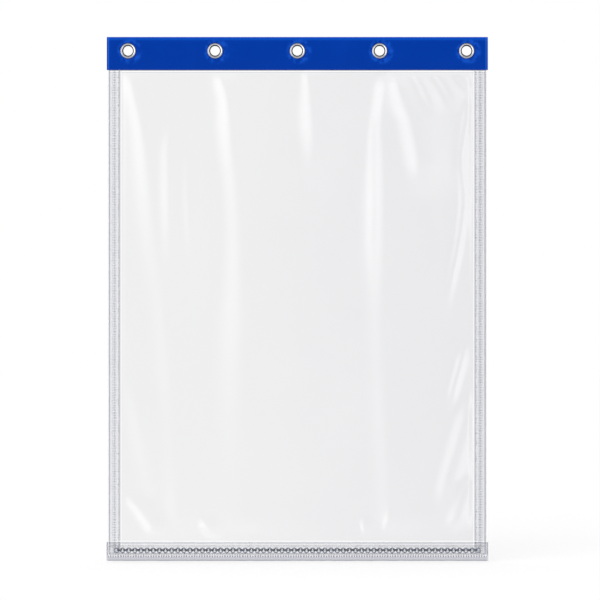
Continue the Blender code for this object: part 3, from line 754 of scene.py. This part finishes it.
class CURTAIN_OT_hems(bpy.types.Operator):
    """Builds the two clear side hems, folded round the film's edges and welded along them"""

    bl_idname = "curtain.hems"
    bl_label = "Side hems"

    def execute(self, context):
        settings = context.scene.curtain_strip
        outer, inner = HEM_OUTER_EDGE, HEM_INNER_EDGE
        bands = (
            ("X", outer - 0.0032, outer - 0.0015, settings.fold, 0.0004, False),
            ("X", outer - 0.0131, outer - 0.0062, settings.weld_soft, 0.0006, True),
            ("X", outer - 0.0112, outer - 0.0095, settings.fold, 0.0004, True),
            ("X", inner - 0.001, inner + 0.0017, settings.weld, 0.0004, True),
        )
        material = welded_strip("clear vinyl hem strip", settings, bands, "Z")

        # Each ply has a rounded inner edge with a bead beside it, and the wheel's groove farther out.
        bead, bead_end, bead_drop = 0.0028, 0.0012, 0.00008
        edge_width, edge_drop = 0.0006, 0.0003
        seam = outer - HEM_SEAM_INSET
        quarter = math.pi / 2
        front = [(inner, HEM_HALF - edge_drop), (inner + edge_width, HEM_HALF), (inner + bead, HEM_HALF)]
        front += [(inner + bead + bead_end, HEM_HALF - bead_drop)]
        front += [(seam - SEAM_WIDTH / 2, HEM_HALF), (seam, HEM_HALF - SEAM_DEPTH)]
        front += [(seam + SEAM_WIDTH / 2, HEM_HALF)]
        fold = arc((outer - HEM_HALF, 0), (HEM_HALF, HEM_HALF), quarter, -quarter, 14)
        back = [(x, -y) for x, y in reversed(front)]
        slot_centre = (outer - HEM_PLY - FILM_SLOT_HALF, 0)
        slot = [(inner, -FILM_SLOT_HALF)]
        slot += arc(slot_centre, (FILM_SLOT_HALF, FILM_SLOT_HALF), -quarter, quarter, 6)
        slot += [(inner, FILM_SLOT_HALF)]
        top, foot = HEADER_LOW.z - CLEARANCE, HEM_LOW.z
        for side, name in ((-1, "side_hem_left"), (1, "side_hem_right")):
            outline = [(side * x, y, 0) for x, y in front + fold + back + slot]
            bm = swept(outline, (0, 0, foot), (0, 0, top - foot), settings.cuts)[0]
            hem = object_of(bm, name.replace("side_hem", "hem_strip"), material)
            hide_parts(name)
            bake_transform(hem)
        return {"FINISHED"}


class CURTAIN_OT_pocket(bpy.types.Operator):
    """Builds the clear pocket that holds the chain, seamed above and below it"""

    bl_idname = "curtain.pocket"
    bl_label = "Chain pocket"

    def execute(self, context):
        settings = context.scene.curtain_strip
        level, top, end = CHAIN_LEVEL, POCKET_HIGH.z, POCKET_HIGH.x
        bands = (
            ("Z", top - 0.0026, top + 0.001, settings.weld_soft, 0.0004, False),
            ("Z", level + 0.0063, level + 0.0072, settings.weld_soft, 0.0004, True),
            ("Z", level - 0.0120, level - 0.0084, settings.foot_weld, 0.0004, True),
            ("Z", POCKET_LOW.z + 0.0018, level - 0.0113, settings.foot_ply, 0.0005, False),
            ("Z", POCKET_LOW.z - 0.002, POCKET_LOW.z + 0.0015, settings.foot_fold, 0.0003, False),
            ("X", end - 0.0012, end + 0.001, settings.foot_weld, 0.0003, False),
            ("X", HEM_OUTER_EDGE, end, settings.weld, 0.0003, False),
        )
        material = welded_strip("clear vinyl pocket strip", settings, bands, "X")
        bulge_steps = 16

        def swelling(edge, size, reaches):
            """Points from the upper seam round the chain to the lower one, as (y, z)."""
            ends = []
            for seam_reach in reaches:
                away = Vector((edge - abs(CHAIN_DEPTH), seam_reach))
                ends.append(math.atan2(away.y, away.x) - math.acos(size / away.length))
            turns = [ends[0] - sum(ends) * step / bulge_steps for step in range(bulge_steps + 1)]
            return [(CHAIN_DEPTH - size * math.cos(a), level + size * math.sin(a)) for a in turns]

        # The strip runs down before the film, swells over the chain, and turns up again behind.
        lap, foot_drop, step_down = 0.0006, 0.0010, 0.0012
        reach, foot_reach = POCKET_SEAM_REACH, POCKET_FOOT_REACH
        radius = CHAIN_DEPTH - POCKET_LOW.y
        slot = FILM_SLOT_HALF
        edge = slot + POCKET_PLY
        seam, upper_seam = level - foot_reach, level + reach
        slot_foot, foot = seam + lap, POCKET_LOW.z - foot_drop
        outer = [(-edge, top), (-edge, upper_seam)]
        outer += swelling(edge, radius, (reach, foot_reach))
        outer += [(-edge, seam), (-2 * POCKET_PLY, seam - step_down)]
        outer += arc((0, foot + POCKET_PLY), (POCKET_PLY, POCKET_PLY), math.pi, math.tau, 6)
        outer += [(2 * POCKET_PLY, seam - step_down), (edge, seam), (edge, top)]
        inner = [(slot, top), (slot, slot_foot), (-slot, slot_foot)]
        inner += reversed(swelling(slot, radius - POCKET_PLY, (reach - lap, foot_reach - lap)))
        inner += [(-slot, level + reach - lap), (-slot, top)]
        outline = [(0, y, z) for y, z in outer + inner]
        width = end - POCKET_LOW.x
        bm, layer = swept(outline, (POCKET_LOW.x, 0, 0), (width, 0, 0), 3 * settings.cuts)

        # Past the chain the swelling closes. The plies climb over the hems and meet past them, and
        # their loose edges pucker.
        chain_end, chain_ramp = CHAIN_END + 0.0033, 0.006
        climb_ramp, close_ramp, weld_gap = 0.003, 0.0012, 0.00005
        climb_from = HEM_INNER_EDGE - CLEARANCE - climb_ramp
        drawn, pucker_depth, puckers, pucker_place = 0.00018, 0.0003, 90, 7.7
        puckered_foot, wall_foot, wall_share = foot + 0.0035, seam - 0.0011, 0.9
        for vert in bm.verts:
            x, y, z = vert.co
            flat_y = -slot if vert[layer] >= len(outer) - 0.5 else -edge
            full = 1 - smooth((abs(x) - chain_end) / chain_ramp)
            if y < flat_y and seam <= z <= upper_seam:
                draw = drawn * (1 + math.cos(math.tau * x / (2 * RING_PITCH) + math.pi)) / 2
                pull = (flat_y - y) / (flat_y - POCKET_LOW.y)
                y = flat_y + (y - flat_y) * full + draw * pull
            climb = smooth((abs(x) - climb_from) / climb_ramp)
            close = smooth((abs(x) - HEM_OUTER_EDGE - CLEARANCE) / close_ramp)
            if z > wall_foot and abs(y) > slot * wall_share:
                shift = HEM_PLY * climb * (1 - close) - (slot - weld_gap) * close
                y += math.copysign(shift, y)
            if z > upper_seam or z < puckered_foot:
                z += pucker_depth * noise.noise(Vector((x * puckers, pucker_place, 0.0)))
            vert.co = (x, y, z)
        pocket = object_of(bm, "pocket_strip", material)
        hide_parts("chain_pocket")
        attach(pocket, "panel")
        return {"FINISHED"}


class CURTAIN_OT_chain(bpy.types.Operator):
    """Builds the chain of round rings, flat and edge-on in turn"""

    bl_idname = "curtain.chain"
    bl_label = "Ring chain"

    def execute(self, context):
        settings = context.scene.curtain_chain
        metal = zinc_plate(settings)
        wire = settings.wire / 2
        section_place = Matrix.Translation((RING_RADIUS - wire, 0, 0))
        # Edge-on rings get painted shade where the flat rings would shade them, less on the shoulders that
        # catch side light.
        shoulder_from, shoulder_to, shoulder_share = 0.35, 0.70, 0.5
        sag_share, wire_degrees = 0.33, 80
        for number, node in enumerate(RUN_NODES):
            bm = bmesh.new()
            edge_on_shade = bm.verts.layers.float.new("edge_on_shade")
            for index in range(number * RINGS_PER_RUN, min((number + 1) * RINGS_PER_RUN, RING_COUNT)):
                start = len(bm.verts)
                section = bmesh.ops.create_circle(
                    bm, segments=settings.sides, radius=wire, matrix=section_place
                )["verts"]
                edges = {edge for vert in section for edge in vert.link_edges}
                spun(bm, section + list(edges), settings.steps)
                bm.verts.ensure_lookup_table()
                ring = bm.verts[start:]
                edge_on = index % 2
                for vert in ring:
                    shoulder = shoulder_from < abs(vert.co.x) / RING_RADIUS < shoulder_to
                    vert[edge_on_shade] = (shoulder_share if shoulder else 1.0) * edge_on
                lay = Matrix.Rotation(math.pi / 2 * edge_on, 4, "X")
                level = CHAIN_LEVEL + settings.lift * (edge_on - sag_share)
                place = Matrix.Translation((RING_FIRST + index * RING_PITCH, CHAIN_DEPTH, level))
                bmesh.ops.transform(bm, matrix=place @ lay, verts=ring)
            run = object_of(bm, node.replace("chain_run", "ring_run"), metal, wire_degrees)
            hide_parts(node)
            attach(run, "chain")
        return {"FINISHED"}


class CURTAIN_OT_stage(bpy.types.Operator):
    """Builds the pale floor, the studio light and the camera"""

    bl_idname = "curtain.stage"
    bl_label = "Stage"

    def execute(self, context):
        scene = context.scene
        settings = scene.curtain_stage
        self.add_floor(settings)
        self.add_world(scene, settings)
        self.add_soft_sun("key", (0.346, 0.742, -0.574), math.radians(50), settings.key_light)
        self.add_soft_sun("top", (0.10, -0.07, -0.99), math.radians(60), settings.top_light)
        data = bpy.data.cameras.new("camera")
        data.lens = data.sensor_width * settings.distance / settings.view_width
        data.clip_end = 100.0
        camera = placed("camera", data)
        camera.location = settings.view_centre - Vector((0, settings.distance, 0))
        camera.rotation_euler = (math.pi / 2, 0, 0)
        scene.camera = camera
        scene.view_settings.view_transform = "Standard"
        return {"FINISHED"}

    def add_soft_sun(self, name, direction, angle, strength):
        """A large, far softbox: soft shadows, and the same light all over the floor."""
        data = bpy.data.lights.new(name, "SUN")
        data.angle = angle
        data.energy = strength
        light = placed(name, data)
        light.visible_glossy = False
        light.visible_transmission = False
        light.rotation_euler = Vector(direction).to_track_quat("-Z", "Y").to_euler()

    def add_floor(self, settings):
        """White painted floor: the camera sees it white, with a soft shadow, and the film shows it
        white. It is open to gloss and from below.
        """
        size, glow, lit, plain = 15, 0.78, 0.2, 0.8
        bm = bmesh.new()
        bmesh.ops.create_grid(bm, x_segments=1, y_segments=1, size=size)
        bmesh.ops.translate(bm, verts=bm.verts, vec=(0, 0, WHOLE_LOW.z - settings.floor_gap))
        material, tree = new_material("white painted floor")
        seen = add_node(tree, "LightPath")
        glowing = add_node(tree, "Emission", {"Strength": glow})
        shaded = add_node(tree, "BsdfDiffuse", {"Color": (lit, lit, lit, 1.0)})
        floor_shown = add_node(tree, "AddShader", (glowing, shaded))
        through_film = add_node(tree, "Emission")
        nothing = add_node(tree, "BsdfTransparent")
        shader = add_node(tree, "BsdfDiffuse", {"Color": (plain, plain, plain, 1.0)})
        for ray, shown in (("Camera", floor_shown), ("Glossy", nothing), ("Transmission", through_film)):
            shader = add_node(tree, "MixShader", (seen.outputs[f"Is {ray} Ray"], shader, shown))
        underside = add_node(tree, "NewGeometry").outputs["Backfacing"]
        shader = add_node(tree, "MixShader", (underside, shader, nothing))
        add_node(tree, "OutputMaterial", (shader,))
        object_of(bm, "floor", material)

    def add_world(self, scene, settings):
        """White wherever the camera looks, also through the film. Gloss sees a studio that is dark
        behind the camera and grows bright to both sides, more so to the left.
        """
        world = bpy.data.worlds.new("studio")
        world.use_nodes = True
        tree = world.node_tree
        tree.nodes.clear()
        seen = add_node(tree, "LightPath")
        direction = add_node(tree, "TexCoord").outputs["Generated"]
        axes = add_node(tree, "SeparateXYZ", (direction,))
        height = add_node(tree, "Math", (axes.outputs["Z"],), operation="ABSOLUTE")
        strips = self.levels_along(tree, axes.outputs["X"], "EASE", STRIP_STOPS)
        inputs = (height, 0.15, 0.5, settings.strip_glow, 0.0)
        window = add_node(tree, "MapRange", inputs, interpolation_type="SMOOTHSTEP")
        before = add_node(tree, "MapRange", (axes.outputs["Y"], -0.6, -0.2, 1.0, 0.3))
        shown = add_node(tree, "Math", (window, before), operation="MULTIPLY")
        room = self.levels_along(tree, axes.outputs["Y"], "LINEAR", ROOM_STOPS)
        below = add_node(tree, "MapRange", (axes.outputs["Z"], 0.02, -0.12, 0.0, settings.floor_glow))
        around = add_node(tree, "Math", (room, below))
        studio = add_node(tree, "Math", (strips, shown, around), operation="MULTIPLY_ADD")
        gloss = seen.outputs["Is Glossy Ray"]
        light = add_node(tree, "Mix", {"Factor": gloss, "A": settings.fill, "B": studio})
        rays = (seen.outputs["Is Camera Ray"], seen.outputs["Is Transmission Ray"])
        looked_at = add_node(tree, "Math", rays, operation="MAXIMUM")
        strength = add_node(tree, "Mix", {"Factor": looked_at, "A": light, "B": 1.0})
        background = add_node(tree, "Background", {"Color": linear("#FFFFFF"), "Strength": strength})
        add_node(tree, "OutputWorld", (background,))
        scene.world = world

    def levels_along(self, tree, value, interpolation, stops):
        """Grey levels over -1 to 1. Each stop is a place and a level."""
        share = add_node(tree, "MapRange", (value, -1.0, 1.0))
        ramp = add_node(tree, "ValToRGB", (share,))
        ramp.color_ramp.interpolation = interpolation
        elements = ramp.color_ramp.elements
        for place, _ in stops[1:-1]:
            elements.new((place + 1) / 2)
        for element, (place, level) in zip(elements, stops):
            element.position = (place + 1) / 2
            element.color = (level, level, level, 1.0)
        return ramp


# Each group of settings, and the operators that read it, in the order in which they are called
GROUPS = {
    "curtain_stage": (CurtainStageSettings, (CURTAIN_OT_stage,)),
    "curtain_header": (CurtainHeaderSettings, (CURTAIN_OT_header,)),
    "curtain_film": (CurtainFilmSettings, (CURTAIN_OT_film,)),
    "curtain_eyelet": (CurtainEyeletSettings, (CURTAIN_OT_eyelets,)),
    "curtain_strip": (CurtainStripSettings, (CURTAIN_OT_hems, CURTAIN_OT_pocket)),
    "curtain_chain": (CurtainChainSettings, (CURTAIN_OT_chain,)),
}


class CURTAIN_PT_panel(bpy.types.Panel):
    """The curtain's pieces and their sizes and colours"""

    bl_idname = "CURTAIN_PT_panel"
    bl_label = "Cleanroom Curtain"
    bl_space_type = "VIEW_3D"
    bl_region_type = "UI"
    bl_category = "Curtain"

    def draw(self, context):
        for group, (settings, operators) in GROUPS.items():
            box = self.layout.box()
            for operator in operators:
                box.operator(operator.bl_idname)
            for name in settings.__annotations__:
                box.prop(getattr(context.scene, group), name)


def register():
    for group, (settings, operators) in GROUPS.items():
        bpy.utils.register_class(settings)
        setattr(bpy.types.Scene, group, PointerProperty(type=settings))
        for operator in operators:
            bpy.utils.register_class(operator)
    bpy.utils.register_class(CURTAIN_PT_panel)


def unregister():
    bpy.utils.unregister_class(CURTAIN_PT_panel)
    for group, (settings, operators) in reversed(GROUPS.items()):
        for operator in operators:
            bpy.utils.unregister_class(operator)
        delattr(bpy.types.Scene, group)
        bpy.utils.unregister_class(settings)


def main():
    register()
    bpy.ops.curtain.stage()
    bpy.ops.curtain.header()
    bpy.ops.curtain.film()
    bpy.ops.curtain.eyelets()
    bpy.ops.curtain.hems()
    bpy.ops.curtain.pocket()
    bpy.ops.curtain.chain()


if __name__ == "__main__":
    main()
